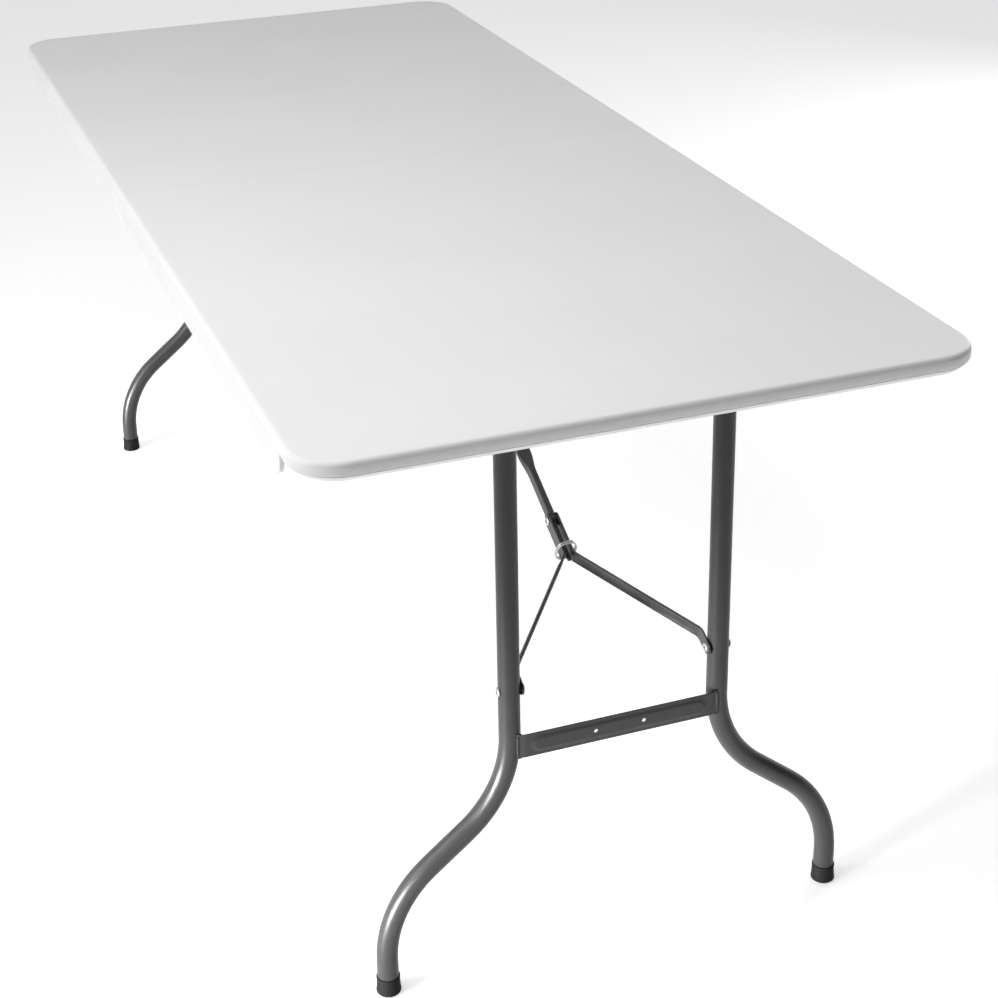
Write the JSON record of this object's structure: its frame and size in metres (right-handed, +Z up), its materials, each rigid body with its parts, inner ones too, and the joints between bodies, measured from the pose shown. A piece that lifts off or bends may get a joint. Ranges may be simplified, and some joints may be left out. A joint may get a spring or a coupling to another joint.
{
  "type": "folding table",
  "caption": "Rectangular bi-fold table with a moulded plastic top, a centre hinge and two folding steel leg frames, each held by a Y-shaped brace with a lock ring.",
  "frame": {"origin": "on the floor under the centre of the open tabletop", "axes": "+X across the table to the side with the carry handle, +Y along the table from the near half to the far half, +Z up"},
  "size_m": [0.76, 1.8, 0.74],
  "materials": {
    "shell": "fine-textured white polyethylene",
    "frame": "dark grey powder coat",
    "zinc": "bright zinc plate",
    "rubber": "black rubber",
    "black_plastic": "black polypropylene"
  },
  "bodies": {
    "near_half": {"near_top_skin": "shell", "near_under_skin": "shell", "near_rail_left": "frame", "near_rail_right": "frame", "near_brace_bar": "frame", "near_arm_bracket": "frame", "near_arm_pin": "zinc", "near_frame_screws": "zinc", "near_hinge_clevises": "frame", "hinge_pins": "zinc", "handle_clips": "black_plastic", "latch_mount": "zinc"},
    "far_half": {"far_top_skin": "shell", "far_under_skin": "shell", "far_rail_left": "frame", "far_rail_right": "frame", "far_brace_bar": "frame", "far_arm_bracket": "frame", "far_arm_pin": "zinc", "far_frame_screws": "zinc", "far_hinge_tongues": "frame", "latch_stud": "zinc"},
    "near_legs": {"near_leg_left": "frame", "near_leg_right": "frame", "near_leg_axle": "frame", "near_axle_caps": "zinc", "near_leg_crossbar": "frame", "near_leg_rivets": "zinc", "near_foot_left": "rubber", "near_foot_right": "rubber"},
    "near_fork": {"near_fork_left": "frame", "near_fork_right": "frame", "near_fork_rivets": "zinc", "near_elbow_pin": "zinc"},
    "near_arm": {"near_brace_arm": "frame"},
    "near_ring": {"near_lock_ring": "zinc"},
    "far_legs": {"far_leg_left": "frame", "far_leg_right": "frame", "far_leg_axle": "frame", "far_axle_caps": "zinc", "far_leg_crossbar": "frame", "far_leg_rivets": "zinc", "far_foot_left": "rubber", "far_foot_right": "rubber"},
    "far_fork": {"far_fork_left": "frame", "far_fork_right": "frame", "far_fork_rivets": "zinc", "far_elbow_pin": "zinc"},
    "far_arm": {"far_brace_arm": "frame"},
    "far_ring": {"far_lock_ring": "zinc"},
    "handle": {"carry_handle": "black_plastic"},
    "latch": {"latch_hook": "zinc"}
  },
  "joints": [
    {"name": "tabletop_fold", "type": "hinge", "parent": "near_half", "child": "far_half", "pos_m": [0, 0, 0.693], "axis": [-1, 0, 0], "range_deg": [0, 85]},
    {"name": "near_leg_fold", "type": "hinge", "parent": "near_half", "child": "near_legs", "pos_m": [0, -0.78, 0.709], "axis": [1, 0, 0], "range_deg": [0, 90]},
    {"name": "far_leg_fold", "type": "hinge", "parent": "far_half", "child": "far_legs", "pos_m": [0, 0.78, 0.709], "axis": [-1, 0, 0], "range_deg": [0, 90]},
    {"name": "near_fork_turn", "type": "hinge", "parent": "near_arm", "child": "near_fork", "pos_m": [0, -0.59264, 0.46338], "axis": [1, 0, 0], "range_deg": [0, 180]},
    {"name": "far_fork_turn", "type": "hinge", "parent": "far_arm", "child": "far_fork", "pos_m": [0, 0.59264, 0.46338], "axis": [-1, 0, 0], "range_deg": [0, 180]},
    {"name": "near_arm_turn", "type": "hinge", "parent": "near_half", "child": "near_arm", "pos_m": [0, -0.115, 0.704], "axis": [-1, 0, 0], "range_deg": [0, 27.63]},
    {"name": "far_arm_turn", "type": "hinge", "parent": "far_half", "child": "far_arm", "pos_m": [0, 0.115, 0.704], "axis": [1, 0, 0], "range_deg": [0, 27.63]},
    {"name": "near_ring_slide", "type": "slide", "parent": "near_arm", "child": "near_ring", "axis": [0, 0.8931, 0.4499], "range_m": [0, 0.44]},
    {"name": "far_ring_slide", "type": "slide", "parent": "far_arm", "child": "far_ring", "axis": [0, -0.8931, 0.4499], "range_m": [0, 0.44]},
    {"name": "handle_swing", "type": "hinge", "parent": "near_half", "child": "handle", "pos_m": [0.3705, -0.45, 0.709], "axis": [0, -1, 0], "range_deg": [-90, 90]},
    {"name": "latch_swing", "type": "hinge", "parent": "near_half", "child": "latch", "pos_m": [0.36, -0.66, 0.709], "axis": [1, 0, 0], "range_deg": [-90, 90]}
  ],
  "couplings": [
    {"joint": "near_fork_turn", "follows": "near_leg_fold", "ratio": 2},
    {"joint": "near_arm_turn", "follows": "near_leg_fold", "ratio": 0.30688},
    {"joint": "near_ring_slide", "follows": "near_leg_fold", "m_per_rad": 0.28},
    {"joint": "far_fork_turn", "follows": "far_leg_fold", "ratio": 2},
    {"joint": "far_arm_turn", "follows": "far_leg_fold", "ratio": 0.30688},
    {"joint": "far_ring_slide", "follows": "far_leg_fold", "m_per_rad": 0.28}
  ]
}
